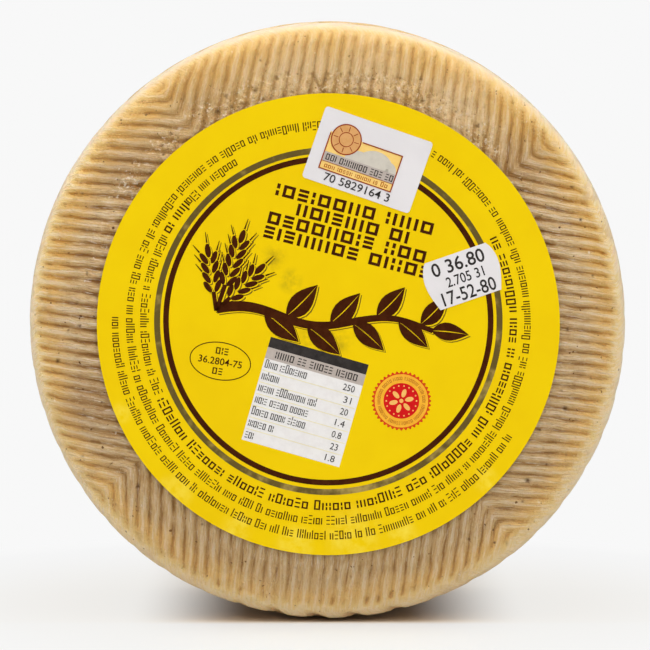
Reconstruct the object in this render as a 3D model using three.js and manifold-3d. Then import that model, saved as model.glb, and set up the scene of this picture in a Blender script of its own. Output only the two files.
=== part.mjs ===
// A small uncut wheel of hard sheep's milk cheese. It stands on its rim, with a round paper label
// and two stickers on its front face.
// Millimetres. X goes to the right, Y along the wheel's axis from the labelled face to the back,
// and Z up. The origin is under the middle of the whole, on the surface that the wheel rests on.
import * as THREE from 'three';
import { mergeVertices } from 'three/addons/utils/BufferGeometryUtils.js';
import Module from 'manifold-3d';

const wasm = await Module();
wasm.setup();

// The wheel's body
const wheelDiameter = 146;
const wheelThickness = 66;
const shoulderRadius = 5;
const shoulderSteps = 3;
const bellyRise = 0.8; // the side is this much fuller at mid height than at its shoulders
const restingFlatDepth = 0.4; // what the wheel's own weight has flattened where it rests

// The print of the plaited esparto belt round the side: bands of slanting strokes
const strokeCount = 46;
const bandCount = 5;
const strokeDepth = 0.8;
const seamDepth = 0.6; // between one band and the next
const strokeUnevenness = 0.25; // share by which strokes differ in height
const strokeProfile = [0, 0.8, 1, 0.8]; // height across a stroke, from one furrow to the next

// The print of the grooved press boards on both faces: four fields of straight ridges that meet
// in mitres on the diagonals
const ridgePitch = 2.9;
const grooveWidth = 1.85;
const grooveDepth = 0.85;
const boardDiameter = 137;
const boardEdgeRun = 3.5; // length over which a groove runs out at the board's edge
const boardSegments = 120;
const boardClearance = 1; // how far a board's back stands off the face
const boardValley = 0.3; // how far the board between its teeth stands off the face
const simplifyTolerance = 0.001;
const frontBoard = { tilt: 7.2, right: -0.8, up: 3.5 };
const backBoard = { tilt: -5, right: -0.8, up: -1.5 };
const plainCentreDiameter = 98; // the label lies on this smooth middle of the front face

// The paper on the front face. Each piece's place is measured from the wheel's centre.
const paperGap = 0.05;
const label = { diameter: 111, thickness: 0.25, right: 0.15, up: -0.25, segments: 120 };
const controlSticker = { width: 26.8, height: 18, corner: 1.2, thickness: 0.15, tilt: -19.1, right: 9.55, up: 39.5 };
const priceSticker = { width: 15.4, height: 11.9, bulge: 1.6, thickness: 0.15, tilt: 19, right: 32.5, up: 11.45 };

// Worked out from the above
const wheelRadius = wheelDiameter / 2;
const halfThickness = wheelThickness / 2;
const halfSide = halfThickness - shoulderRadius;
const faceRadius = wheelRadius - bellyRise - shoulderRadius;
const columnsPerStroke = strokeProfile.length;
const wheelColumns = strokeCount * columnsPerStroke;
const strokeAngle = (2 * Math.PI) / strokeCount;
const bandHeight = (2 * halfSide) / bandCount;

const rindMaterial = new THREE.MeshStandardMaterial({ color: 0xc9a66b, roughness: 0.5, metalness: 0 });
const labelMaterial = new THREE.MeshStandardMaterial({ color: 0xf2d100, roughness: 0.45, metalness: 0 });
const stickerMaterial = new THREE.MeshStandardMaterial({ color: 0xe9e7ea, roughness: 0.55, metalness: 0 });

// Numbers from 0 to 1 that are the same on every run
function seededNumbers(seed) {
  let state = seed;
  return () => {
    state = (Math.imul(state, 1664525) + 1013904223) >>> 0;
    return state / 4294967296;
  };
}

// A three.js geometry as a solid that can be joined and cut
function solidOf(geometry) {
  const bare = geometry.clone();
  bare.deleteAttribute('normal');
  bare.deleteAttribute('uv');
  const merged = mergeVertices(bare, 1e-5);
  return new wasm.Manifold(new wasm.Mesh({
    numProp: 3,
    vertProperties: new Float32Array(merged.attributes.position.array),
    triVerts: new Uint32Array(merged.index.array),
  }));
}

// Drops the points that cutting has left in the middle of flat faces and straight edges
function withoutSparePoints(solid) {
  return solid.asOriginal().simplify(simplifyTolerance);
}

function geometryOf(solid) {
  const { vertProperties, triVerts } = solid.getMesh();
  const geometry = new THREE.BufferGeometry();
  geometry.setAttribute('position', new THREE.BufferAttribute(vertProperties, 3));
  geometry.setIndex(new THREE.BufferAttribute(triVerts, 1));
  return geometry;
}

// The rows of points that make up the wheel's section, from the centre of the front face to the
// centre of the back one. Each has its place, its share of the belt's print and its turn round
// the wheel, which slants the strokes to one side in one band and to the other in the next.
function wheelRows() {
  const front = [];
  for (let step = 0; step < shoulderSteps; step += 1) {
    const angle = (step / shoulderSteps) * (Math.PI / 2);
    front.push({
      y: -halfThickness + shoulderRadius * (1 - Math.cos(angle)),
      radius: faceRadius + shoulderRadius * Math.sin(angle),
      print: step === shoulderSteps - 1 ? 0.4 : 0,
      turn: 0,
    });
  }
  const side = [];
  for (let seam = 0; seam <= bandCount; seam += 1) {
    const turn = seam % 2 === 0 ? 0 : strokeAngle;
    const y = -halfSide + seam * bandHeight;
    side.push({ y, radius: sideRadius(y), print: 1, turn, seam: true });
    if (seam < bandCount) {
      const middle = y + bandHeight / 2;
      side.push({ y: middle, radius: sideRadius(middle), print: 1, turn: strokeAngle / 2 });
    }
  }
  const lastTurn = side[side.length - 1].turn;
  const back = front.map((row) => ({ ...row, y: -row.y, turn: lastTurn })).reverse();
  const centre = { radius: 0, print: 0, turn: 0 };
  return [{ ...centre, y: -halfThickness }, ...front, ...side, ...back, { ...centre, y: halfThickness }];
}

function sideRadius(y) {
  return wheelRadius - bellyRise * (y / halfSide) ** 2;
}

// The body before its faces are pressed: a turned form whose side carries the belt's strokes
function wheelBody() {
  const rows = wheelRows();
  const profile = rows.map((row) => new THREE.Vector2(row.radius, row.y));
  const geometry = new THREE.LatheGeometry(profile, wheelColumns);
  const random = seededNumbers(46);
  const strokeHeights = rows.map(() => Array.from({ length: strokeCount }, () => 1 - strokeUnevenness * random()));
  const position = geometry.attributes.position;
  for (let column = 0; column <= wheelColumns; column += 1) {
    const stroke = Math.floor(column / columnsPerStroke) % strokeCount;
    rows.forEach((row, index) => {
      const across = strokeProfile[column % columnsPerStroke];
      const height = row.seam ? across * (1 - seamDepth / strokeDepth) : across * strokeHeights[index][stroke];
      const radius = row.radius - strokeDepth * row.print * (1 - height);
      const angle = (column / wheelColumns) * 2 * Math.PI + row.turn;
      const distance = row.radius === 0 ? 0 : radius;
      position.setXYZ(column * rows.length + index, distance * Math.sin(angle), row.y, distance * Math.cos(angle));
    });
  }
  return solidOf(geometry);
}

// A grooved press board, face down: its teeth reach into the cheese along +Y from y = 0. Each of
// its four fields is a comb of straight teeth, cut to a quarter of the board.
function pressBoard({ tilt, right, up }) {
  const reach = boardDiameter * 0.75;
  const teethBesideMiddle = Math.floor(reach / ridgePitch);
  const halfTooth = (grooveWidth / 2) * (1 + boardValley / grooveDepth);
  const comb = new THREE.Shape();
  comb.moveTo(-reach - ridgePitch, -boardClearance);
  comb.lineTo(-reach - ridgePitch, -boardValley);
  for (let tooth = -teethBesideMiddle; tooth <= teethBesideMiddle; tooth += 1) {
    const middle = tooth * ridgePitch;
    comb.lineTo(middle - halfTooth, -boardValley);
    comb.lineTo(middle, grooveDepth);
    comb.lineTo(middle + halfTooth, -boardValley);
  }
  comb.lineTo(reach + ridgePitch, -boardValley);
  comb.lineTo(reach + ridgePitch, -boardClearance);
  const teeth = solidOf(new THREE.ExtrudeGeometry(comb, { depth: reach, bevelEnabled: false }));

  const quarter = new THREE.Shape();
  quarter.moveTo(0, 0);
  quarter.lineTo(reach, reach);
  quarter.lineTo(-reach, reach);
  const wedgeGeometry = new THREE.ExtrudeGeometry(quarter, { depth: 4 * boardClearance, bevelEnabled: false });
  wedgeGeometry.rotateX(Math.PI / 2);
  wedgeGeometry.translate(0, 2 * boardClearance, 0);
  const fieldGeometry = geometryOf(teeth.intersect(solidOf(wedgeGeometry)));

  let board = solidOf(fieldGeometry);
  for (let quarterTurn = 1; quarterTurn < 4; quarterTurn += 1) {
    fieldGeometry.rotateY(Math.PI / 2);
    board = board.add(solidOf(fieldGeometry));
  }
  const boardGeometry = geometryOf(board);
  boardGeometry.rotateY(THREE.MathUtils.degToRad(tilt));
  boardGeometry.translate(right, 0, up);

  const outerRadius = boardDiameter / 2;
  const slope = boardEdgeRun / grooveDepth;
  const edge = new THREE.CylinderGeometry(
    outerRadius - boardEdgeRun, outerRadius + slope * boardClearance, grooveDepth + boardClearance, boardSegments);
  edge.translate(0, (grooveDepth - boardClearance) / 2, 0);
  return solidOf(boardGeometry).intersect(solidOf(edge));
}

// The same board with a hole in its middle, so that this part of the face stays smooth
function pressBoardWithPlainCentre(place) {
  const core = new THREE.CylinderGeometry(
    plainCentreDiameter / 2, plainCentreDiameter / 2, 8 * boardClearance, boardSegments);
  return pressBoard(place).subtract(solidOf(core));
}

function cheeseWheel() {
  const frontPress = geometryOf(pressBoardWithPlainCentre(frontBoard));
  frontPress.translate(0, -halfThickness, 0);
  const backPress = geometryOf(pressBoard(backBoard));
  backPress.rotateZ(Math.PI);
  backPress.translate(0, halfThickness, 0);
  const floor = new THREE.BoxGeometry(wheelDiameter, 2 * wheelThickness, wheelRadius);
  floor.translate(0, 0, -1.5 * wheelRadius + restingFlatDepth);
  const body = wheelBody().subtract(solidOf(frontPress)).subtract(solidOf(backPress)).subtract(solidOf(floor));
  return geometryOf(withoutSparePoints(body));
}

function namedMesh(name, geometry, material) {
  const mesh = new THREE.Mesh(geometry, material);
  mesh.name = name;
  return mesh;
}

// A flat outline, drawn as seen from in front, as a thin piece whose front is at y = -thickness
function paperPiece(outline, { thickness }) {
  const geometry = new THREE.ExtrudeGeometry(outline, { depth: thickness, bevelEnabled: false, curveSegments: 8 });
  geometry.rotateX(Math.PI / 2);
  return geometry;
}

function roundLabel() {
  const radius = label.diameter / 2;
  const geometry = new THREE.CylinderGeometry(radius, radius, label.thickness, label.segments);
  geometry.translate(0, -label.thickness / 2, 0);
  return geometry;
}

function roundedRectangle({ width, height, corner }) {
  const x = width / 2;
  const y = height / 2;
  const outline = new THREE.Shape();
  outline.moveTo(-x + corner, -y);
  outline.lineTo(x - corner, -y);
  outline.absarc(x - corner, -y + corner, corner, -Math.PI / 2, 0);
  outline.lineTo(x, y - corner);
  outline.absarc(x - corner, y - corner, corner, 0, Math.PI / 2);
  outline.lineTo(-x + corner, y);
  outline.absarc(-x + corner, y - corner, corner, Math.PI / 2, Math.PI);
  outline.lineTo(-x, -y + corner);
  outline.absarc(-x + corner, -y + corner, corner, Math.PI, 1.5 * Math.PI);
  return outline;
}

// Straight above and below, and swelling out at both ends
function swellingRectangle({ width, height, bulge }) {
  const x = width / 2;
  const y = height / 2;
  const swell = x + bulge;
  const outline = new THREE.Shape();
  outline.moveTo(-x, -y);
  outline.lineTo(x, -y);
  outline.bezierCurveTo(x + bulge / 4, -y / 2, swell, -y / 2, swell, 0);
  outline.bezierCurveTo(swell, y / 2, x + bulge / 4, y / 2, x, y);
  outline.lineTo(-x, y);
  outline.bezierCurveTo(-x - bulge / 4, y / 2, -swell, y / 2, -swell, 0);
  outline.bezierCurveTo(-swell, -y / 2, -x - bulge / 4, -y / 2, -x, -y);
  return outline;
}

// Turns a paper piece in the plane of the face, counter-clockwise as seen from in front, and
// lays it at its place
function layOnFace(mesh, { right, up, tilt = 0 }, y) {
  mesh.rotation.y = THREE.MathUtils.degToRad(-tilt);
  mesh.position.set(right, y, up);
  return mesh;
}

const wheel = namedMesh('cheese_wheel', cheeseWheel(), rindMaterial);
const labelBack = -halfThickness - paperGap;
const stickerBack = labelBack - label.thickness - paperGap;
const labelMesh = layOnFace(namedMesh('round_label', roundLabel(), labelMaterial), label, labelBack);
const controlMesh = layOnFace(
  namedMesh('control_sticker', paperPiece(roundedRectangle(controlSticker), controlSticker), stickerMaterial),
  controlSticker, stickerBack);
const priceMesh = layOnFace(
  namedMesh('price_sticker', paperPiece(swellingRectangle(priceSticker), priceSticker), stickerMaterial),
  priceSticker, stickerBack);

const group = new THREE.Group();
group.add(wheel, labelMesh, controlMesh, priceMesh);
group.updateMatrixWorld(true);
const box = new THREE.Box3().setFromObject(group, true);
group.position.set(-(box.min.x + box.max.x) / 2, -(box.min.y + box.max.y) / 2, -box.min.z);

export default group;
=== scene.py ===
import math
import random

import bmesh
import bpy
from mathutils import Matrix, Vector, kdtree, noise


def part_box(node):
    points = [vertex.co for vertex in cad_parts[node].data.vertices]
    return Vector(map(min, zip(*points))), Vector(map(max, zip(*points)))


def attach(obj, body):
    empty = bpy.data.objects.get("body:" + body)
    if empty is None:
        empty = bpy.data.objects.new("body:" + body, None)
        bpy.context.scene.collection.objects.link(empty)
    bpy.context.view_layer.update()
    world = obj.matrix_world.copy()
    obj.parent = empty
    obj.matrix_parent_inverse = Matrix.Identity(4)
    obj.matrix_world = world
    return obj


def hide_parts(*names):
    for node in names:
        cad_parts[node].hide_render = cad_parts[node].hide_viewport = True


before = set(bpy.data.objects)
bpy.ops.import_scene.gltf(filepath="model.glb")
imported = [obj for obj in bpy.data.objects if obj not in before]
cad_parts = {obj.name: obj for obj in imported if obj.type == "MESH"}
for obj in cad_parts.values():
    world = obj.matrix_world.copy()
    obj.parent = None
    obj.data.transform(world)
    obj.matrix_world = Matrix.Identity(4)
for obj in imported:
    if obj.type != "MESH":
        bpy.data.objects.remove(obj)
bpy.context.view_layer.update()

MM = 0.001

# The wheel, in millimetres
WHEEL_RADIUS = 73.0
HALF_THICKNESS = 33.0
SHOULDER_RADIUS = 5.0
BELLY_RISE = 0.8
HALF_SIDE = HALF_THICKNESS - SHOULDER_RADIUS
FACE_RADIUS = WHEEL_RADIUS - BELLY_RISE - SHOULDER_RADIUS
RESTING_HEIGHT = 72.6  # from the middle of the wheel down to the flat that it rests on

# The pressed ridges of both faces
RIDGE_PITCH = 2.9
GROOVE_DEPTH = 0.7
RIDGE_FAN = 0.00145  # share by which the ridges draw closer together for each millimetre outwards
FAN_MIDDLE = 48.0  # how far out they have their nominal pitch
MITRE_ROUNDING = 2.2
GROOVE_END = 70.6  # radius at which the grooves run out
GROOVE_END_LEAN = 1.4  # how much further out they run at the upper left of the front than opposite
LEAN_TOWARDS = math.radians(125.0)
FACE_DROP = 0.5  # how far the faces fall away towards the rim
FRONT_BOARD = {"tilt": 7.1, "swing": 1.9, "right": -0.8, "up": 3.5}
BACK_BOARD = {"tilt": -5.0, "swing": 1.2, "right": -0.8, "up": -1.5}
SWING_TOWARDS = math.radians(79.0)

# A small V-shaped dent in the front rind, above the label: its tip, height and half its breadth
# for each millimetre of height
CHEVRON_RIGHT = -1.8
CHEVRON_UP = 56.4
CHEVRON_HEIGHT = 3.6
CHEVRON_SPREAD = 0.5

# Open holes that show in the front rind: to the right, up and radius
LARGE_PITS = (
    (48.3, -38.0, 0.75), (43.4, -53.6, 0.5), (-12.2, 59.0, 0.7), (-17.4, 56.0, 0.75), (-15.4, 53.9, 0.6))

# How many small open pits each part of the rind has, and medium ones where the ridges are crushed
FRONT_PITS = 50
BACK_PITS = 1100
CRUSHED_PITS = 12
SIDE_PITS = 620
PITTED_RADIUS = 68.0  # how far out the pits of the faces lie at most

# The print of the plaited belt round the side
STROKE_COUNT = 46
STROKE_START = math.radians(1.1)
BAND_COUNT = 5
STROKE_DEPTH = 1.25
BAND_HEIGHT = 2 * HALF_SIDE / BAND_COUNT

# How finely the wheel is meshed
ROWS_PER_HALF_FIELD = 104
FACE_COLUMNS = 28
LABEL_ZONE_RADIUS = 54.0  # the front is finely meshed only outside this, as the label hides it
SHOULDER_ROWS = 9
SIDE_ROWS = 40

# The papers on the front face
LABEL_RIGHT = 0.15
LABEL_UP = -0.25
LABEL_RADIUS = 55.7
LABEL_RINGS = 24  # how finely the label is meshed
PAPER_THICKNESS = 0.12
LABEL_FRONT = HALF_THICKNESS + 0.14  # how far the label's front lies before the wheel's middle
STICKER_FRONT = LABEL_FRONT + 0.14
INK_THICKNESS = 0.015
INK_LAYER = 0.02  # how much further out each layer of ink lies
FINE_CELL = 2.0  # how finely small printed pieces are cut to follow the paper

label_low, label_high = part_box("round_label")
wheel_low, wheel_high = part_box("cheese_wheel")
WHEEL_CENTRE = Vector((
    (label_low.x + label_high.x) / 2 - LABEL_RIGHT * MM,
    (wheel_low.y + wheel_high.y) / 2,
    (label_low.z + label_high.z) / 2 - LABEL_UP * MM,
))
PLACE = Matrix.Translation(WHEEL_CENTRE) @ Matrix.Scale(MM, 4)


def laid(right, up, tilt=0.0):
    """Moves a drawing to its place on the label, turned anticlockwise by its tilt in degrees."""
    return Matrix.Translation((right, up, 0.0)) @ Matrix.Rotation(math.radians(tilt), 4, "Z")


def laid_like(node, tilt):
    """The place of a sticker's node on the label."""
    low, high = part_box(node)
    middle = ((low + high) / 2 - WHEEL_CENTRE) / MM
    return laid(middle.x - LABEL_RIGHT, middle.z - LABEL_UP, tilt)


# The stickers and what is printed, about the middle of the label
CONTROL = {"width": 27.2, "height": 18.0, "corner": 0.8}
CONTROL_PLACE = laid_like("control_sticker", -19.1)
PRICE = {"width": 15.4, "height": 11.9, "bulge": 1.6}
PRICE_PLACE = laid_like("price_sticker", 19.0)

# The printed circles, and the rows of marks round them: radii and half widths, the heights of the
# marks and the breadths of their stems, and the parts of each row, in degrees
BROWN_RING = 39.05
BROWN_HALF_WIDTH = 0.68
GOLD_RING = 41.2
GOLD_HALF_WIDTH = 0.72
INNER_ROW = 44.5
INNER_THIN_SPANS = ((119.7, 139.0), (152.0, 203.0))
INNER_BOLD_SPANS = ((139.5, 151.0), (204.5, 388.5))
MIDDLE_ROW = 47.9
MIDDLE_SPAN = (92.0, 419.0)
OUTER_ROW = 51.3
OUTER_SPAN = (178.0, 330.0)
SMALL_HEIGHT = 1.55
SMALL_STEM = 0.27
BOLD_HEIGHT = 1.75
BOLD_STEM = 0.4

# The heading's rows of bold marks, the spray, the table, the oval and the seal
HEADING_PLACE = laid(0.0, 0.0, -14.5)
HEADING_TOP = 28.6
HEADING_STEP = 3.5
HEADING_LENGTHS = (40.5, 28.5, 40.9, 41.1)
HEADING_HEIGHT = 2.9
HEADING_STEM = 0.78
EMBLEM_PLACE = laid(-0.5, 4.2, -9.3)
GRAIN_STEP = 2.3
SPRAY_ROOT = (-26.0, -5.0)  # where the ears and the long stalk meet
LEAF_COUNT = 8
PANEL_PLACE = laid(-5.6, -18.6, -16.0)
PANEL = {"width": 24.5, "height": 25.8, "header": 2.5, "second": 2.8}
# How far the marks of each row reach across the panel, and the row's value
PANEL_VALUES = (
    (0.46, "250"), (0.2, "31"), (0.6, "20"), (0.55, "1.4"), (0.56, "0.8"), (0.27, "23"), (0.1, "1.8"))
OVAL_PLACE = laid(-26.0, -8.7, -10.0)
OVAL = {"width": 14.7, "height": 9.0, "line": 0.24}
ROSETTE_PLACE = laid(17.6, -18.3)
ROSETTE = {"rim": 6.95, "field": 6.45, "marks": 5.4, "middle": 4.3, "dots": 3.65, "petals": 1.95}
# The rows of the price sticker: to the right and up from its middle, figures, height, width and
# how much bolder they are
PRICE_ROWS = (
    (-0.1, 3.55, "0 36.80", 3.4, 13.2, 0.012), (0.5, -0.2, "2.705 31", 2.5, 9.4, 0.01),
    (0.25, -3.85, "17-52-80", 3.35, 13.4, 0.01))

# Round places that are browner or greyer on the rind, and on the label greasy, or paler with painted
# sheen: to the right and up from the label's middle, and radius
BROWN_PLACES = (
    (-30.0, 53.0, 15.0), (45.5, 39.0, 13.0), (-46.5, 38.5, 13.0), (-57.5, -20.0, 12.0))
GREY_PLACES = ((-8.0, 61.0, 13.0), (10.0, 61.0, 13.0), (30.5, 53.5, 12.0))
LABEL_STAINS = ((-13.0, 16.2, 4.2), (-9.2, 10.8, 4.0), (-4.0, -2.6, 4.5), (2.5, -4.0, 4.5))
LABEL_SHEEN_SPOTS = (
    (-49.8, -21.3, 3.4), (-37.0, -40.5, 6.0), (-22.0, -49.0, 5.0), (-8.0, -53.0, 6.0), (6.0, -51.0, 9.0),
    (18.0, -50.5, 5.0), (38.0, -37.5, 4.0))


def smooth(low, high, value):
    share = min(max((value - low) / (high - low), 0.0), 1.0)
    return share * share * (3.0 - 2.0 * share)


def ripple(across, up, size, seed):
    """Smooth noise from -1 to 1 whose bumps are about this size."""
    return noise.noise(Vector((across / size, seed * 7.31, up / size)))


def linear(hex_colour):
    """An sRGB hex colour as the linear colour that a shader takes."""
    channels = [int(hex_colour[start:start + 2], 16) / 255 for start in (1, 3, 5)]
    return tuple(c / 12.92 if c <= 0.04045 else ((c + 0.055) / 1.055) ** 2.4 for c in channels) + (1.0,)


def new_object(name, bm, material):
    """Puts a finished shape in the scene."""
    mesh = bpy.data.meshes.new(name)
    bm.to_mesh(mesh)
    bm.free()
    mesh.materials.append(material)
    made = bpy.data.objects.new(name, mesh)
    bpy.context.scene.collection.objects.link(made)
    return made


def finished_object(name, bm, material, node=None, slot=None, flat=False):
    """Puts a shape made in millimetres in its place, as a piece that moves with the wheel."""
    bmesh.ops.transform(bm, matrix=PLACE, verts=bm.verts)
    for face in bm.faces:
        face.smooth = not flat
    piece = new_object(name, bm, material)
    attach(piece, "root")
    if node:
        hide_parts(node)


# Materials

SOFT = {"interpolation_type": "SMOOTHSTEP"}
COLOUR = {"data_type": "RGBA"}


def wire(tree, node, inputs):
    """Links or sets a node's inputs by name or number."""
    for key, value in inputs.items():
        if isinstance(key, int):
            socket = node.inputs[key]
        else:
            socket = next(s for s in node.inputs if s.enabled and s.name == key)
        if isinstance(value, bpy.types.Node):
            value = next(s for s in value.outputs if s.enabled)
        if isinstance(value, bpy.types.NodeSocket):
            tree.links.new(value, socket)
        else:
            socket.default_value = value


def add(tree, kind, inputs=None, **settings):
    """Adds a node with its settings and its inputs."""
    made = tree.nodes.new("ShaderNode" + kind)
    for setting, value in settings.items():
        setattr(made, setting, value)
    wire(tree, made, inputs or {})
    return made


def per_mm(size):
    """The scale of a pattern on coordinates in metres whose features are this many millimetres."""
    return 1.0 / (size * MM)


def new_material(name):
    """A material with its tree, its surface and the place of a point on the piece."""
    material = bpy.data.materials.new(name)
    material.use_nodes = True
    tree = material.node_tree
    return material, tree, tree.nodes["Principled BSDF"], add(tree, "TexCoord").outputs["Object"]


def soft_spots(tree, place, spots):
    """How much of any of these soft round spots lies at a point of the front face. A spot is its
    place from the label's middle, to the right and up, and its radius."""
    share = 0.0
    for right, up, radius in spots:
        middle = WHEEL_CENTRE + Vector((LABEL_RIGHT + right, -LABEL_FRONT, LABEL_UP + up)) * MM
        reach = add(tree, "VectorMath", {0: place, 1: middle}, operation="DISTANCE").outputs["Value"]
        spot = add(tree, "MapRange", {
            "Value": reach, "From Min": radius * MM, "From Max": 0.2 * radius * MM}, **SOFT)
        share = add(tree, "Math", {0: share, 1: spot}, operation="MAXIMUM")
    return share


def scattered(tree, warp, size, channel, share, full, end, strength, easing="SMOOTHSTEP"):
    """Single spots of uneven shape. Each lies in a cell of this size in millimetres, the share of
    cells has one, and it fades between these two parts of the cell's reach."""
    cells = add(tree, "TexVoronoi", {"Vector": warp, "Scale": per_mm(size)})
    lot = add(tree, "SeparateColor", {"Color": cells.outputs["Color"]}).outputs[channel]
    chosen = add(tree, "Math", {0: lot, 1: share}, operation="LESS_THAN")
    spot = add(tree, "MapRange", {
        "Value": cells.outputs["Distance"], "From Min": full, "From Max": end, "To Min": strength,
        "To Max": 0.0}, interpolation_type=easing)
    return add(tree, "Math", {0: spot, 1: chosen}, operation="MULTIPLY")


def groove_shade_line(tree, grain, dashes, streaks, hollow, aside):
    """A thin dark line of painted shade, about 0.4 mm wide and broken, along the bottom of each groove of the
    faces.
    """
    across = add(tree, "SeparateXYZ", {"Vector": grain}).outputs["Y"]
    strayed = add(tree, "Math", {0: dashes, 1: 0.9 * MM, 2: across}, operation="MULTIPLY_ADD")
    phase = add(tree, "Math", {
        0: strayed, 1: per_mm(RIDGE_PITCH), 2: 1.0 - 0.45 / RIDGE_PITCH}, operation="MULTIPLY_ADD")
    from_bottom = add(tree, "Math", {0: phase, 1: 0.5}, operation="PINGPONG")
    line = add(tree, "MapRange", {
        "Value": from_bottom, "From Min": 0.12, "From Max": 0.03, "To Max": 0.75}, **SOFT)
    deep = add(tree, "Math", {0: hollow, 1: 0.55, 2: streaks}, operation="MULTIPLY_ADD")
    deep = add(tree, "MapRange", {"Value": deep, "From Min": 0.72, "From Max": 1.0})
    on_face = add(tree, "MapRange", {
        "Value": aside, "From Min": (HALF_SIDE + 1.0) * MM, "From Max": (HALF_SIDE + 4.0) * MM})
    for part in (deep, on_face):
        line = add(tree, "Math", {0: line, 1: part}, operation="MULTIPLY")
    return line


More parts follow.
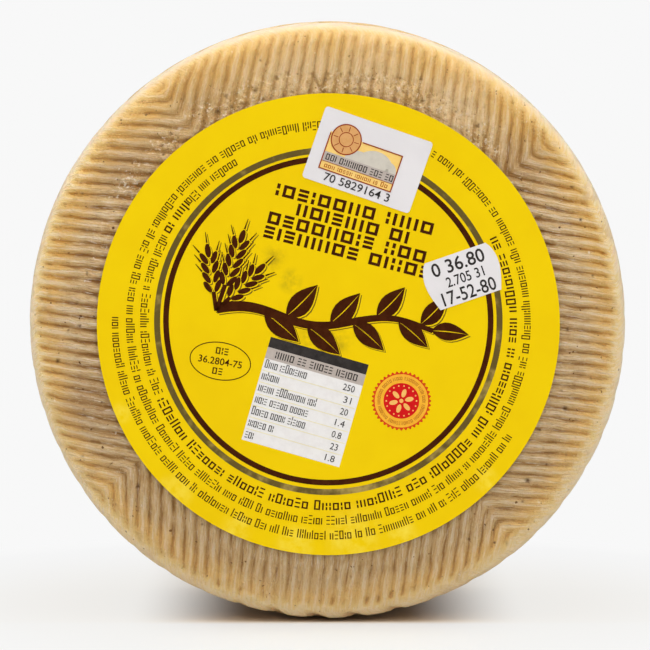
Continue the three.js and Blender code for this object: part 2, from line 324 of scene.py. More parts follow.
def waxed_rind():
    """Natural rind of pressed curd under a thin clear coat of wax. The eye sees pale cream on the
    worn crests, amber to brown in the grooves, small dark pits and dashes, and a soft waxy gloss
    over flesh that lets a little light through."""
    material, tree, shader, place = new_material("waxed_rind")
    hollow, outward, pit, crushed = (
        add(tree, "Attribute", attribute_name=name).outputs["Fac"]
        for name in ("hollow", "outward", "pit", "crushed"))
    grain = add(tree, "Attribute", attribute_name="grain").outputs["Vector"]
    parts = add(tree, "SeparateXYZ", {"Vector": place})

    # Patterns without a direction, by the size of their features in millimetres: large soft clouds,
    # brown stains, grain of the curd, crumbs, clusters of specks, and grit
    patterns = []
    for size, detail, roughness, distortion in (
            (16.0, 4.0, 0.62, 0.0), (6.5, 5.0, 0.6, 0.6), (1.0, 5.0, 0.7, 0.0), (0.9, 2.0, 0.55, 0.0),
            (3.2, 2.0, 0.6, 0.0), (0.45, 3.0, 0.6, 0.0)):
        patterns.append(add(tree, "TexNoise", {
            "Vector": place, "Scale": per_mm(size), "Detail": detail, "Roughness": roughness,
            "Distortion": distortion}))
    clouds, stains, curd, crumbs, cluster, grit = patterns
    # Patterns along the ridges, by their length and width: streaks, dashes and scratches
    patterns = []
    for length, width, detail, roughness in (
            (7.0, 0.6, 4.0, 0.65), (1.9, 0.5, 3.0, 0.6), (3.5, 0.33, 3.0, 0.65)):
        drawn_out = add(tree, "Mapping", {
            "Vector": grain, "Scale": (per_mm(length), per_mm(width), per_mm(9.0))})
        patterns.append(add(tree, "TexNoise", {
            "Vector": drawn_out, "Scale": 1.0, "Detail": detail, "Roughness": roughness}))
    streaks, dashes, scratches = patterns

    # Towards the middle the rind is greyer, and where it is outermost it is golden
    zone = add(tree, "Math", {0: clouds, 1: 0.9, 2: outward}, operation="MULTIPLY_ADD")
    zone = add(tree, "MapRange", {"Value": zone, "From Min": 0.8, "From Max": 1.4}, **SOFT)
    # The shoulder is paler, and the side is a little darker with painted shade, most midway across it
    reach = add(tree, "VectorMath", {0: place, 1: (1.0, 0.0, 1.0)}, operation="MULTIPLY")
    reach = add(tree, "VectorMath", {
        0: reach, 1: (WHEEL_CENTRE.x, 0.0, WHEEL_CENTRE.z + 0.7 * MM)}, operation="DISTANCE").outputs["Value"]
    aside = add(tree, "Math", {0: parts.outputs["Y"], 1: WHEEL_CENTRE.y}, operation="SUBTRACT")
    aside = add(tree, "Math", {0: aside}, operation="ABSOLUTE")
    edge = add(tree, "MapRange", {
        "Value": aside, "From Min": (HALF_SIDE - 16.0) * MM, "From Max": (HALF_SIDE - 1.0) * MM,
        "To Min": 0.15}, **SOFT)
    # Painted shade on the side
    belt = add(tree, "Math", {0: 0.94, 1: edge}, operation="SUBTRACT", use_clamp=True)
    shoulder = add(tree, "MapRange", {
        "Value": reach, "From Min": 67.2 * MM, "From Max": 70.4 * MM, "To Max": 0.85}, **SOFT)
    shoulder = add(tree, "Math", {0: shoulder, 1: edge}, operation="MULTIPLY")

    # The colours of the crests, of the grooves, of the painted shade line in them and of the darker tone low
    # down
    colours = []
    for colour, changes in (
            ("#d8b47e", ((zone, "#dfb162"), (shoulder, "#efcf86"), (belt, "#c99e5a"))),
            ("#9c6a28", ((zone, "#cb8c28"), (belt, "#8e6228"))),
            ("#82501c", ((zone, "#aa6c1c"),)),
            ("#9c7c4c", ((zone, "#c6a878"),))):
        colour = linear(colour)
        for share, tint in changes:
            colour = add(tree, "Mix", {"Factor": share, "A": colour, "B": linear(tint)}, **COLOUR)
        colours.append(colour)
    crest, groove, groove_shade, low_tone = colours
    # The streaks break up the line between crest and groove, less on the shoulder
    broken = add(tree, "Math", {0: shoulder, 1: -1.6, 2: 1.4}, operation="MULTIPLY_ADD")
    uneven = add(tree, "Math", {0: streaks, 1: 0.5}, operation="SUBTRACT")
    uneven = add(tree, "Math", {0: uneven, 1: broken, 2: hollow}, operation="MULTIPLY_ADD")
    depth = add(tree, "MapRange", {"Value": uneven, "From Min": 0.08, "From Max": 0.88}, **SOFT)
    rind = add(tree, "Mix", {"Factor": depth, "A": crest, "B": groove}, **COLOUR)

    # What is laid over that, in order: a pale line of painted highlight along each crest, brown stains,
    # places that are browner or greyer, pale bloom of worn wax and salt, dark dashes where dirt has
    # stayed in the grooves, and pale ones on the crests
    # Painted highlight: a pale line along the crests, broken by the streaks
    crest_highlight = add(tree, "Math", {0: streaks, 1: 0.7, 2: hollow}, operation="MULTIPLY_ADD")
    dirt = add(tree, "Math", {0: hollow, 1: 0.16, 2: dashes}, operation="MULTIPLY_ADD")
    rubbed = add(tree, "Math", {0: hollow, 1: 0.2, 2: dashes}, operation="MULTIPLY_ADD")
    layers = []
    for pattern, start, end, most, easing, tint in (
            (crest_highlight, 0.43, 0.31, 0.42, "SMOOTHSTEP", "#f4e6cc"),
            (stains, 0.52, 0.72, 0.42, "SMOOTHSTEP", "#b88a4a"),
            (soft_spots(tree, place, BROWN_PLACES), 0.0, 1.0, 0.34, "LINEAR", "#7c4a1a"),
            (soft_spots(tree, place, GREY_PLACES), 0.0, 1.0, 0.24, "LINEAR", "#e8d8c0"),
            (curd, 0.54, 0.7, 0.35, "SMOOTHSTEP", "#e6cfa0"),
            (dirt, 0.62, 0.8, 0.6, "SMOOTHSTEP", "#8a5618"),
            (rubbed, 0.42, 0.3, 0.5, "SMOOTHSTEP", "#eed8a8")):
        share = add(tree, "MapRange", {
            "Value": pattern, "From Min": start, "From Max": end, "To Max": most}, interpolation_type=easing)
        layers.append((share, linear(tint)))
    # A thin line of painted shade along the bottom of each groove
    layers.append((groove_shade_line(tree, grain, dashes, streaks, hollow, aside), groove_shade))
    # Brown and pale scratches, most of them towards the middle, and crumbs where ridges are crushed
    broken_up = add(tree, "Math", {0: crushed, 1: 0.85}, operation="MULTIPLY")
    scratches = add(tree, "Mix", {"Factor": broken_up, "A": scratches, "B": crumbs}, data_type="FLOAT")
    ragged = add(tree, "MapRange", {
        "Value": outward, "From Min": 0.0, "From Max": 0.8, "To Min": 1.0, "To Max": 0.2})
    ragged = add(tree, "Math", {0: crushed, 1: 0.6, 2: ragged}, operation="MULTIPLY_ADD")
    for start, end, tint in ((0.46, 0.3, "#8f5b1e"), (0.55, 0.7, "#f6e8d2")):
        scratched = add(tree, "MapRange", {
            "Value": scratches, "From Min": start, "From Max": end, "To Max": 0.7})
        scratched = add(tree, "Math", {0: scratched, 1: ragged}, operation="MULTIPLY")
        layers.append((scratched, linear(tint)))
    # Brown specks, 0.2 to 0.5 mm across, in clusters and most of them low in the grooves, single
    # dark ones about 0.6 mm across, and white crumbs and flakes, most of them where ridges are crushed
    warp = add(tree, "TexNoise", {"Vector": place, "Scale": per_mm(0.5), "Detail": 1.0})
    warp = add(tree, "VectorMath", {
        0: warp.outputs["Color"], 1: (0.7 * MM, 0.7 * MM, 0.7 * MM), 2: place}, operation="MULTIPLY_ADD")
    likely = add(tree, "Math", {0: hollow, 1: 0.14, 2: cluster}, operation="MULTIPLY_ADD")
    likely = add(tree, "Math", {0: crushed, 1: 0.1, 2: likely}, operation="MULTIPLY_ADD")
    likely = add(tree, "MapRange", {
        "Value": likely, "From Min": 0.57, "From Max": 0.8, "To Min": 0.008, "To Max": 0.38})
    speck = scattered(tree, warp, 0.85, "Red", likely, 0.14, 0.34, 0.95)
    dot = scattered(tree, warp, 2.7, "Red", 0.13, 0.09, 0.15, 0.95, "LINEAR")
    speck = add(tree, "Math", {0: speck, 1: dot}, operation="MAXIMUM")
    darkness = add(tree, "Math", {0: pit, 1: 0.9}, operation="MULTIPLY")
    darkness = add(tree, "Math", {0: speck, 1: darkness}, operation="MAXIMUM")
    layers.append((darkness, linear("#5c2c04")))
    wanted = add(tree, "Math", {0: crushed, 1: 0.09, 2: 0.005}, operation="MULTIPLY_ADD")
    layers.append((scattered(tree, warp, 0.9, "Green", wanted, 0.2, 0.42, 0.5), linear("#f3e8d2")))
    # The rind is darker towards the bottom and paler and more golden towards the top, and the outermost
    # rim is paler with painted highlight, most at the top and least low down
    darker_low = add(tree, "MapRange", {
        "Value": parts.outputs["Z"], "From Min": 5.0 * MM, "From Max": 105.0 * MM, "To Min": 0.36,
        "To Max": 0.0})
    golden_high = add(tree, "MapRange", {
        "Value": parts.outputs["Z"], "From Min": 98.0 * MM, "From Max": 140.0 * MM, "To Max": 0.5})
    # Painted highlight: the outermost rim paler, most at the top and least low down
    rim = add(tree, "MapRange", {
        "Value": reach, "From Min": 69.6 * MM, "From Max": 72.0 * MM, "To Max": 0.62}, **SOFT)
    rim_highlight_by_height = add(tree, "Math", {0: golden_high, 1: 1.2, 2: 1.0}, operation="MULTIPLY_ADD")
    rim_highlight_by_height = add(tree, "Math", {0: darker_low, 1: -1.7, 2: rim_highlight_by_height}, operation="MULTIPLY_ADD")
    for part in (edge, rim_highlight_by_height):
        rim = add(tree, "Math", {0: rim, 1: part}, operation="MULTIPLY")
    layers += [(darker_low, low_tone), (golden_high, linear("#f2c67c")), (rim, linear("#f8e6cc"))]
    for share, tint in layers:
        rind = add(tree, "Mix", {"Factor": share, "A": rind, "B": tint}, **COLOUR)

    # Polished crests, duller grooves and dull specks
    gloss = add(tree, "MapRange", {
        "Value": curd, "From Min": 0.3, "From Max": 0.7, "To Min": 0.3, "To Max": 0.55})
    gloss = add(tree, "Math", {0: gloss, 1: darkness}, operation="MAXIMUM")
    # How much of each pattern stands up, or sinks in
    relief = 0.0
    for pattern, height in (
            (curd, 0.7), (streaks, broken), (grit, 0.5), (scratches, ragged), (dashes, -0.7), (speck, -0.3)):
        relief = add(tree, "Math", {0: pattern, 1: height, 2: relief}, operation="MULTIPLY_ADD")
    bump = add(tree, "Bump", {"Height": relief, "Strength": 0.9, "Distance": 0.6 * MM})
    wire(tree, shader, {
        "Base Color": rind, "Roughness": gloss, "Normal": bump, "IOR": 1.45, "Specular IOR Level": 0.35,
        "Subsurface Weight": 0.25, "Subsurface Radius": (1.6, 0.8, 0.3), "Subsurface Scale": 1.4 * MM,
        "Coat Weight": 0.06, "Coat Roughness": 0.25})
    return material


def coated_paper(name, colour, shade, roughness, stains=(), sheen_spots=()):
    """Machine-coated label paper, printed all over in one colour. The eye sees a smooth, slightly
    uneven colour with a broad satin gloss, and very small fibres at a slant of light. Grease has
    left soft stains on it, and soft paler patches of painted sheen lie on it."""
    material, tree, shader, place = new_material(name)
    # Soft clouds of the colour, its mottle, slack waves of the sheet, and fibres under the coat
    patterns = []
    for size, detail, rough in ((18.0, 3.0, 0.55), (3.0, 4.0, 0.6), (9.0, 2.0, 0.5), (0.35, 2.0, 0.5)):
        patterns.append(add(tree, "TexNoise", {
            "Vector": place, "Scale": per_mm(size), "Detail": detail, "Roughness": rough}))
    clouds, mottle, waves, fibres = patterns
    uneven = add(tree, "MapRange", {"Value": clouds, "From Min": 0.35, "From Max": 0.7}, **SOFT)
    paper = add(tree, "Mix", {"Factor": uneven, "A": linear(colour), "B": linear(shade)}, **COLOUR)
    # Soft stains of grease, and paler patches of painted sheen
    for spots, tint, strength in ((stains, "#b89a10", 0.9), (sheen_spots, "#f6dc4c", 0.8)):
        if spots:
            patchy = add(tree, "MapRange", {
                "Value": mottle, "From Min": 0.36, "From Max": 0.7, "To Max": strength})
            share = add(tree, "Math", {
                0: soft_spots(tree, place, spots), 1: patchy}, operation="MULTIPLY")
            paper = add(tree, "Mix", {"Factor": share, "A": paper, "B": linear(tint)}, **COLOUR)
    height = add(tree, "Math", {0: waves, 1: 4.0, 2: fibres}, operation="MULTIPLY_ADD")
    bump = add(tree, "Bump", {"Height": height, "Strength": 0.3, "Distance": 0.04 * MM})
    wire(tree, shader, {
        "Base Color": paper, "Normal": bump, "Roughness": roughness, "IOR": 1.5, "Specular IOR Level": 0.07})
    return material


def printed_ink(name, colour, shade):
    """Offset ink on coated paper. The eye sees a solid, slightly mottled colour with the paper's
    own satin gloss."""
    material, tree, shader, place = new_material(name)
    mottle = add(tree, "TexNoise", {
        "Vector": place, "Scale": per_mm(1.6), "Detail": 4.0, "Roughness": 0.65})
    uneven = add(tree, "MapRange", {"Value": mottle, "From Min": 0.35, "From Max": 0.68}, **SOFT)
    ink_colour = add(tree, "Mix", {"Factor": uneven, "A": linear(colour), "B": linear(shade)}, **COLOUR)
    wire(tree, shader, {"Base Color": ink_colour, "Roughness": 0.45, "Specular IOR Level": 0.06})
    return material


def gold_foil():
    """Metallic ink in an olive gold, rolled on thin. The eye sees a dark olive line that turns to
    a lighter brass in soft patches of painted highlight, most of all low on the label."""
    material, tree, shader, place = new_material("gold_foil_ink")
    up = add(tree, "SeparateXYZ", {"Vector": place}).outputs["Z"]
    # Painted highlight, more of it low on the label
    low = add(tree, "MapRange", {
        "Value": up, "From Min": 31.0 * MM, "From Max": 50.0 * MM, "To Min": 0.14, "To Max": 0.0})
    patches = add(tree, "TexNoise", {
        "Vector": place, "Scale": per_mm(4.5), "Detail": 3.0, "Roughness": 0.6})
    foil_glint = add(tree, "Math", {0: patches, 1: low}, operation="ADD")
    foil_glint = add(tree, "MapRange", {"Value": foil_glint, "From Min": 0.48, "From Max": 0.84}, **SOFT)
    foil = add(tree, "Mix", {"Factor": foil_glint, "A": linear("#5f4b00"), "B": linear("#b3984a")}, **COLOUR)
    wire(tree, shader, {"Base Color": foil, "Metallic": 0.25, "Roughness": 0.45})
    return material


LABEL_PAPER = coated_paper("coated_yellow_paper", "#efca00", "#ecc500", 0.45, LABEL_STAINS, LABEL_SHEEN_SPOTS)
BARE_YELLOW = coated_paper("bare_yellow_line", "#efca00", "#ecc500", 0.45)
STICKER_PAPER = coated_paper("white_sticker_paper", "#e4dfde", "#dfdad9", 0.55)
BROWN_INK = printed_ink("brown_ink", "#3b1500", "#461e04")
SHADOW_INK = printed_ink("olive_brown_ink", "#7c6516", "#6d5812")
BLACK_INK = printed_ink("black_ink", "#2e2a28", "#3b3634")
GREY_INK = printed_ink("grey_ink", "#bcb0a6", "#b5a89e")
PANEL_WHITE = printed_ink("white_ink", "#eae6e2", "#e5e0dc")
PALE_LINE_INK = printed_ink("pale_yellow_ink", "#e9dfae", "#e6daa2")
RED_INK = printed_ink("red_ink", "#d4181a", "#cb1416")
RIM_INK = printed_ink("orange_red_ink", "#d63f18", "#cd3914")
DARK_RED_INK = printed_ink("dark_red_ink", "#9a3b1c", "#8e3519")
ORANGE_INK = printed_ink("orange_ink", "#f5b536", "#f0ac2e")
PALE_ORANGE_INK = printed_ink("pale_orange_ink", "#f6bd6a", "#f2b45e")
OCHRE_INK = printed_ink("ochre_ink", "#f5cf7c", "#f2c86f")
DARK_OCHRE_INK = printed_ink("dark_ochre_ink", "#b9691f", "#ae5f1a")
HILL_INK = printed_ink("stone_ink", "#cfc7b8", "#c8c0b2")
TAN_INK = printed_ink("tan_ink", "#d9a368", "#d39b5e")
GOLD_INK = gold_foil()


# The wheel

def ridge_place(board, x, z):
    """Where a point of a face lies in the board's print: along and across its four fields, how far
    along its ridge, how far across the ridges from the middle one, and in which half field."""
    right = x - board["right"]
    up = z - board["up"]
    turn = math.radians(board["tilt"] + board["swing"] * math.cos(math.atan2(up, right) - SWING_TOWARDS))
    p = right * math.cos(turn) - up * math.sin(turn)
    q = right * math.sin(turn) + up * math.cos(turn)
    near, far = sorted((abs(p), abs(q)))
    corner = max(MITRE_ROUNDING - (far - near), 0.0) / MITRE_ROUNDING
    across = near - corner * corner * MITRE_ROUNDING / 4
    across *= 1.0 + RIDGE_FAN * (far - FAN_MIDDLE)
    field = (1 if abs(p) > abs(q) else 0) + (2 if p > 0 else 0) + (4 if q > 0 else 0)
    return p, q, far, across, field


def ridge_wander(x, z):
    """How far the ridges stray sideways at a point of a face."""
    return 0.35 * ripple(x, z, 12.0, 3) + 0.18 * ripple(x, z, 3.5, 5)


def half_field(bm, board, back, quarter, side):
    """A grid over one half of one field of a face. Its rows run along the ridges, from the mitre,
    or from the label's zone, out to the rim."""
    tilt = math.radians(board["tilt"])
    forth = Matrix.Rotation(quarter * math.pi / 2 - tilt, 2) @ Vector((1.0, 0.0))
    aside = Matrix.Rotation(quarter * math.pi / 2 - tilt, 2) @ Vector((0.0, 1.0)) * side
    start = Vector((board["right"], board["up"]))
    middle_forth = -start.dot(forth)
    middle_aside = -start.dot(aside)
    half = (middle_forth + middle_aside) / 2
    mitre_end = half + math.sqrt(half * half - (start.length_squared - FACE_RADIUS ** 2) / 2)
    inner_radius = 0.0 if back else LABEL_ZONE_RADIUS
    made = bmesh.ops.create_grid(bm, x_segments=FACE_COLUMNS, y_segments=ROWS_PER_HALF_FIELD, size=0.5)
    for vertex in made["verts"]:
        across = (vertex.co.y + 0.5) * mitre_end
        off = across - middle_aside
        rim = middle_forth + math.sqrt(max(FACE_RADIUS ** 2 - off * off, 0.0))
        begin = across
        if inner_radius > abs(off):
            begin = max(across, middle_forth + math.sqrt(inner_radius ** 2 - off * off))
        along = begin + (vertex.co.x + 0.5) * (max(rim, begin) - begin)
        flat = start + forth * along + aside * across
        vertex.co = (-flat.x, HALF_THICKNESS, flat.y) if back else (flat.x, -HALF_THICKNESS, flat.y)


def rim_edges(bm, y):
    """The open edges round one face."""
    def on_rim(vertex):
        return abs(vertex.co.y - y) < 0.01 and abs(math.hypot(vertex.co.x, vertex.co.z) - FACE_RADIUS) < 0.01
    return [e for e in bm.edges if e.is_boundary and on_rim(e.verts[0]) and on_rim(e.verts[1])]


def close_label_zone(bm, edges):
    """Fills the middle of the front face, which the label hides, with two coarse rings."""
    for radius in (LABEL_ZONE_RADIUS * 0.6, 0.0):
        made = bmesh.ops.extrude_edge_only(bm, edges=edges)["geom"]
        for vertex in (g for g in made if isinstance(g, bmesh.types.BMVert)):
            reach = math.hypot(vertex.co.x, vertex.co.z)
            vertex.co.x *= radius / reach
            vertex.co.z *= radius / reach
        edges = [g for g in made if isinstance(g, bmesh.types.BMEdge) and g.is_boundary]
    bmesh.ops.remove_doubles(bm, verts=bm.verts, dist=0.002)


def section_point(share):
    """A point of the wheel's section from the front face's rim to the back one's: how far out it
    is, its depth, and which way it faces."""
    rows = 2 * SHOULDER_ROWS + SIDE_ROWS
    row = share * rows
    rows_in = min(row, rows - row)
    if rows_in < SHOULDER_ROWS:
        angle = rows_in / SHOULDER_ROWS * math.pi / 2
        back = math.copysign(1.0, row - rows / 2)
        y = back * (HALF_SIDE + SHOULDER_RADIUS * math.cos(angle))
        return FACE_RADIUS + SHOULDER_RADIUS * math.sin(angle), y, (math.sin(angle), back * math.cos(angle))
    y = -HALF_SIDE + 2 * HALF_SIDE * (row - SHOULDER_ROWS) / SIDE_ROWS
    return WHEEL_RADIUS - BELLY_RISE * (y / HALF_SIDE) ** 2, y, (1.0, 0.0)


def chevron_dent(x, z):
    """How much of the small V-shaped dent above the label lies at a point of the front face."""
    up = z - CHEVRON_UP
    off = abs(x - CHEVRON_RIGHT) - CHEVRON_SPREAD * up
    run = smooth(-0.6, 0.2, up) * smooth(CHEVRON_HEIGHT + 0.6, CHEVRON_HEIGHT, up)
    return smooth(0.65, 0.1, abs(off)) * run


def face_wear(x, z, radius):
    """How far the front's ridges are worn down at a point: on the whole, low down by the rim, and
    crushed towards the top of the label."""
    low_wear = smooth(54.0, 63.0, -z) * (1.0 - smooth(16.0, 34.0, abs(x + 4)))
    right_wear = 0.9 * smooth(5.0, 40.0, x) * smooth(25.0, -5.0, z) * smooth(68.0, 58.0, radius)
    inner_wear = smooth(34.0, 54.0, -z) * smooth(65.0, 58.0, radius)
    near, far = 0.3 * radius, 0.75 * radius + 0.1
    side_wear = 0.5 * smooth(near, far, abs(x)) * smooth(far, near, z) * smooth(54.0, 60.0, radius)
    crushed = smooth(5.0, 45.0, z) * smooth(-62.0, -20.0, -x) * (1.0 - smooth(58.5, 64.0, radius))
    crushed = min(1.0, max(0.0, crushed * (1.0 + 1.2 * ripple(x, z, 8.0, 21))))
    return max(low_wear, right_wear, inner_wear, side_wear), low_wear, crushed


def face_relief(board, x, z, radius, front):
    """How deep the board's print and wear reach at a point of a face, and what they leave there."""
    along, across, field = ridge_place(board, x, z)[2:]
    phase = (across + ridge_wander(x, z)) / RIDGE_PITCH + 0.5
    groove_number = math.floor(phase)
    end = GROOVE_END + 1.3 * noise.noise(Vector((groove_number * 1.7, field * 3.1, 0.5)))
    if front:
        end += GROOVE_END_LEAN * math.cos(math.atan2(z, x) - LEAN_TOWARDS)
    run = 1.0 - smooth(end - 1.7, end, radius)
    crest_breadth = 1.5 + 0.9 * smooth(52.0, 66.0, radius)
    bare_hollow = (0.5 - 0.5 * math.cos(2 * math.pi * phase)) ** crest_breadth
    hollow = bare_hollow * run
    worn = smooth(0.1, 0.75, ripple(x, z, 17.0, 11))
    crushed, low_wear = 0.0, 0.0
    if front:
        front_worn, low_wear, crushed = face_wear(x, z, radius)
        worn = max(worn * 0.6, front_worn)
    uneven = 0.85 + 0.36 * noise.noise(Vector((along / 3.5, groove_number * 1.9, field * 5.3)))
    depth = GROOVE_DEPTH * hollow * (1.0 - 0.6 * worn) * uneven
    # Where the grooves are worn away low on the front, a row of dents is left at their ends
    end_dent = low_wear * bare_hollow * smooth(1.5, 0.4, abs(radius - end + 1.7))
    end_dent *= smooth(-0.35, 0.25, noise.noise(Vector((groove_number * 2.3, field * 1.9, 7.5))))
    depth += 0.45 * end_dent
    hollow = max(hollow, 2.6 * end_dent)
    # Streaks along the ridges, crumbs of curd, and chips where the ridges are crushed
    streak = noise.noise(Vector((along / 5.0, across / 0.9, field)))
    depth += 0.22 * (0.5 + 0.5 * streak) * run
    crumb = 0.5 + 0.5 * ripple(x, z, 1.4, 8)
    depth += (0.03 + 0.14 * run) * crumb
    if crushed > 0.0:
        chip_at = noise.voronoi(Vector((x / 1.7, 0.5, z / 1.4)))[1][0]
        chip = 0.5 + noise.noise(chip_at * 5.7)
        depth += crushed * (0.5 * chip + 0.25 * crumb - 0.3 * GROOVE_DEPTH * hollow)
    if front:
        dent = chevron_dent(x, z)
        depth += 0.6 * dent
        hollow = max(hollow, 1.3 * dent)
    # Slow swells of the whole face, which falls away towards the rim
    depth += 0.22 * (0.5 + 0.5 * ripple(x, z, 24.0, 2))
    depth += FACE_DROP * smooth(50.0, 68.0, radius)
    return depth, hollow * (1.0 - 0.42 * worn) * min(uneven, 1.0), crushed


def belt_place(angle, y):
    """Where a point of the side lies in the belt's print: which band from the front, with the share
    of the band's height, and how many strokes round."""
    place = (y + HALF_SIDE) / BAND_HEIGHT + 0.04 * ripple(angle * WHEEL_RADIUS, y, 20.0, 6)
    return place, (angle - STROKE_START) * STROKE_COUNT / (2 * math.pi)


def stroke_share(place, round_the_rim, band):
    """The share of a band's height, and how many strokes along it the slanting strokes have come."""
    up = place - band
    slant = up if band % 2 == 0 else 1.0 - up
    return up, round_the_rim - slant


def side_relief(angle, y):
    """How deep the plaited belt's print reaches at a point of the side."""
    place, round_the_rim = belt_place(angle, y)
    band = math.floor(place)
    up, stroke = stroke_share(place, round_the_rim, band)
    stroke += 0.04 * ripple(angle * WHEEL_RADIUS, y, 9.0, 4)
    furrow = (0.5 + 0.5 * math.cos(2 * math.pi * stroke)) ** 3.0
    seam = 0.7 * math.exp(-((min(up, 1.0 - up) * BAND_HEIGHT) / 0.9) ** 2)
    hollow = max(furrow, seam)
    edge = smooth(HALF_SIDE + 3.5, HALF_SIDE - 7.0, abs(y))
    below = smooth(0.93, 0.985, -math.cos(angle))
    strength = 0.1 + 0.9 * max(edge, below)
    strength *= 0.85 + 0.25 * noise.noise(Vector((math.floor(stroke) * 1.3, band * 2.7, 0.2)))
    strength *= 1.0 - smooth(HALF_SIDE + 2.0, HALF_THICKNESS, abs(y))
    depth = STROKE_DEPTH * hollow * strength
    depth += 0.3 * (0.5 + 0.5 * ripple(angle * WHEEL_RADIUS, y, 21.0, 12))
    depth += 0.08 * (0.5 + 0.5 * ripple(angle * WHEEL_RADIUS, y, 2.2, 14))
    return depth, hollow * strength


def rind_pits(seed):
    """Places and sizes of the open pits: small ones all over the faces and the side, larger ones
    where the ridges are crushed, and the few largest on the front."""
    draw = random.Random(seed)
    pits = []

    def on_face(angle, radius, y, size):
        pits.append((Vector((radius * math.cos(angle), y, radius * math.sin(angle))), size))

    def small_size():
        return 0.3 + 0.4 * draw.random() ** 3
    whole_turn = 2 * math.pi
    for _ in range(FRONT_PITS):
        on_face(draw.uniform(0, whole_turn), draw.uniform(56.0, PITTED_RADIUS), -HALF_THICKNESS, small_size())
    for _ in range(BACK_PITS):
        angle = draw.uniform(0, whole_turn)
        on_face(angle, PITTED_RADIUS * math.sqrt(draw.random()), HALF_THICKNESS, small_size())
    for _ in range(CRUSHED_PITS):
        angle = math.radians(draw.uniform(40, 135))
        on_face(angle, draw.uniform(56.0, 61.5), -HALF_THICKNESS, draw.uniform(0.45, 0.65))
    for _ in range(SIDE_PITS):
        angle = draw.uniform(0, whole_turn)
        on_face(angle, WHEEL_RADIUS, draw.uniform(-HALF_SIDE, HALF_SIDE), small_size())
    for right, up, size in LARGE_PITS:
        pits.append((Vector((right, -HALF_THICKNESS, up)), size))
    tree = kdtree.KDTree(len(pits))
    for index, (place, _) in enumerate(pits):
        tree.insert(place, index)
    tree.balance()
    return tree, [size for _, size in pits]


def smooth_place(vertex):
    """A point of the smooth wheel: its angle round the axis, radius and depth, and which way the
    surface faces there, outwards and backwards."""
    x, y, z = vertex.co
    if abs(y) > HALF_THICKNESS - 0.001:
        return math.atan2(x, z), math.hypot(x, z), y, (0.0, math.copysign(1.0, y))
    radius, y, facing = section_point((y + HALF_THICKNESS) / (2 * HALF_THICKNESS))
    return math.atan2(x, z), radius, y, facing


def lay_grain(bm, places):
    """Notes at each corner of each face where the rind's grain has come to there: along and across
    the ridges of a field, or the strokes of a band. All corners of a face are in the same field or
    band, so that no pattern is torn inside a face."""
    grain_layer = bm.loops.layers.float_vector.new("grain")
    ridges, strokes = [], []
    for angle, radius, y, _ in places:
        board = FRONT_BOARD if y < 0 else BACK_BOARD
        seen_x = radius * math.sin(angle) * (1.0 if y < 0 else -1.0)
        up = radius * math.cos(angle)
        ridges.append(ridge_place(board, seen_x, up) + (ridge_wander(seen_x, up),))
        strokes.append(belt_place(angle, y))
    for face in bm.faces:
        corners = [loop.vert.index for loop in face.loops]
        first = corners[0]
        if places[first][3][0] < 0.7:
            field = ridges[first][4] + (0 if places[first][2] < 0 else 8)
            upright = field % 2 == 0
            for loop, corner in zip(face.loops, corners):
                p, q = abs(ridges[corner][0]), abs(ridges[corner][1])
                along, across = (q, p) if upright else (p, q)
                across = across * (1.0 + RIDGE_FAN * (along - FAN_MIDDLE)) + ridges[corner][5]
                loop[grain_layer] = (along * MM, across * MM, field * 40.0 * MM)
            continue
        band = math.floor(min(strokes[corner][0] for corner in corners) + 0.001)
        for loop, corner in zip(face.loops, corners):
            place, round_the_rim = strokes[corner]
            if round_the_rim < strokes[first][1] - STROKE_COUNT / 2:
                round_the_rim += STROKE_COUNT
            elif round_the_rim > strokes[first][1] + STROKE_COUNT / 2:
                round_the_rim -= STROKE_COUNT
            up, stroke = stroke_share(place, round_the_rim, band)
            loop[grain_layer] = (up * BAND_HEIGHT * MM, stroke * 10.0 * MM, (band * 40.0 + 900.0) * MM)


def press_wheel(bm):
    """Presses the boards' and the belt's print into the smooth wheel and notes on each point what
    the rind's finish needs to know."""
    bm.verts.index_update()
    places = [smooth_place(vertex) for vertex in bm.verts]
    lay_grain(bm, places)
    notes = [bm.verts.layers.float.new(name) for name in ("hollow", "outward", "pit", "crushed")]
    pit_tree, pit_sizes = rind_pits(17)
    for vertex, (angle, radius, y, facing) in zip(bm.verts, places):
        base = Vector((radius * math.sin(angle), y, radius * math.cos(angle)))
        front = y < 0
        depth, hollow, crushed = 0.0, 0.0, 0.0
        if radius < GROOVE_END + 1.5 and abs(y) > HALF_SIDE:
            board = FRONT_BOARD if front else BACK_BOARD
            seen_x = base.x if front else -base.x
            depth, hollow, crushed = face_relief(board, seen_x, base.z, radius, front)
        side_weight = smooth(0.45, 0.95, facing[0])
        if side_weight > 0:
            side_depth, side_hollow = side_relief(angle, y)
            depth += (side_depth - depth) * side_weight
            hollow += (side_hollow - hollow) * side_weight
        _, pit_index, distance = pit_tree.find(base)
        pit = max(0.0, 1.0 - distance / pit_sizes[pit_index])
        depth += 0.9 * pit_sizes[pit_index] * min(1.0, 1.6 * pit)
        out = radius - facing[0] * depth
        vertex.co = (out * math.sin(angle), y - facing[1] * depth, out * math.cos(angle))
        vertex.co.z = max(vertex.co.z, -RESTING_HEIGHT)
        outward = smooth(56.0, 70.0, radius) if front else smooth(10.0, 70.0, radius)
        for note, value in zip(notes, (hollow, outward, min(1.0, 1.5 * pit), crushed)):
            vertex[note] = value


